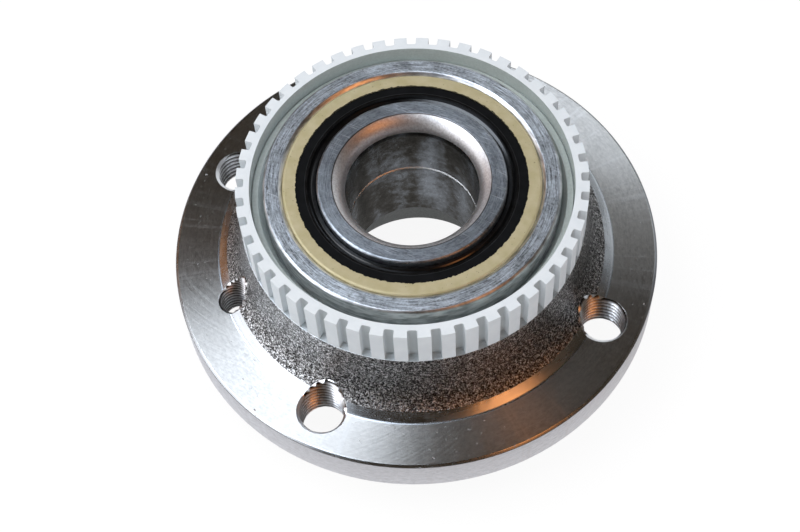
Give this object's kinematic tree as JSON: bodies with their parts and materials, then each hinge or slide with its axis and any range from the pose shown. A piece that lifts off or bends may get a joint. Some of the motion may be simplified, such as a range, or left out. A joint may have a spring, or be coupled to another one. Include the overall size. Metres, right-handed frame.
{
  "type": "wheel hub bearing",
  "caption": "Flanged wheel hub with a pressed-in double-row ball bearing, rubber seals and a toothed speed sensor ring.",
  "frame": {"origin": "centre of the wheel bolt circle, on the outboard face of the flange, where the brake disc and wheel seat", "axes": "+Z along the spin axis, inboard towards the toothed ring; a wheel bolt hole on each of +X, +Y, -X and -Y"},
  "size_m": [0.119, 0.119, 0.0543],
  "materials": {
    "hub_steel": "turned flange and registers, grainy cast barrel",
    "sensor_ring_steel": "matte white-silver",
    "bearing_steel": "ground and oiled",
    "seal_case": "matte khaki-gold passivated sheet",
    "seal_rubber": "greased black rubber",
    "ball_steel": "polished",
    "cage_nylon": "natural nylon"
  },
  "bodies": {
    "inner_rings": {"inner_ring_inboard": "bearing_steel", "inner_ring_outboard": "bearing_steel"},
    "hub": {"hub_flange": "hub_steel", "toothed_ring": "sensor_ring_steel", "outer_ring": "bearing_steel", "seal_case_inboard": "seal_case", "seal_lip_inboard": "seal_rubber", "seal_case_outboard": "seal_case", "seal_lip_outboard": "seal_rubber"},
    "ball_row_inboard": {"cage_inboard": "cage_nylon", "ball_inboard_01": "ball_steel", "ball_inboard_02": "ball_steel", "ball_inboard_03": "ball_steel", "ball_inboard_04": "ball_steel", "ball_inboard_05": "ball_steel", "ball_inboard_06": "ball_steel", "ball_inboard_07": "ball_steel", "ball_inboard_08": "ball_steel", "ball_inboard_09": "ball_steel", "ball_inboard_10": "ball_steel", "ball_inboard_11": "ball_steel", "ball_inboard_12": "ball_steel", "ball_inboard_13": "ball_steel"},
    "ball_row_outboard": {"cage_outboard": "cage_nylon", "ball_outboard_01": "ball_steel", "ball_outboard_02": "ball_steel", "ball_outboard_03": "ball_steel", "ball_outboard_04": "ball_steel", "ball_outboard_05": "ball_steel", "ball_outboard_06": "ball_steel", "ball_outboard_07": "ball_steel", "ball_outboard_08": "ball_steel", "ball_outboard_09": "ball_steel", "ball_outboard_10": "ball_steel", "ball_outboard_11": "ball_steel", "ball_outboard_12": "ball_steel", "ball_outboard_13": "ball_steel"}
  },
  "joints": [
    {"name": "hub_spin", "type": "hinge", "parent": "inner_rings", "child": "hub", "pos_m": [0, 0, 0.0215], "axis": [0, 0, 1], "continuous": true},
    {"name": "inboard_row_orbit", "type": "hinge", "parent": "inner_rings", "child": "ball_row_inboard", "pos_m": [0, 0, 0.0301], "axis": [0, 0, 1], "continuous": true},
    {"name": "outboard_row_orbit", "type": "hinge", "parent": "inner_rings", "child": "ball_row_outboard", "pos_m": [0, 0, 0.0129], "axis": [0, 0, 1], "continuous": true}
  ],
  "couplings": [
    {"joint": "inboard_row_orbit", "follows": "hub_spin", "ratio": 0.57431},
    {"joint": "outboard_row_orbit", "follows": "hub_spin", "ratio": 0.57431}
  ]
}
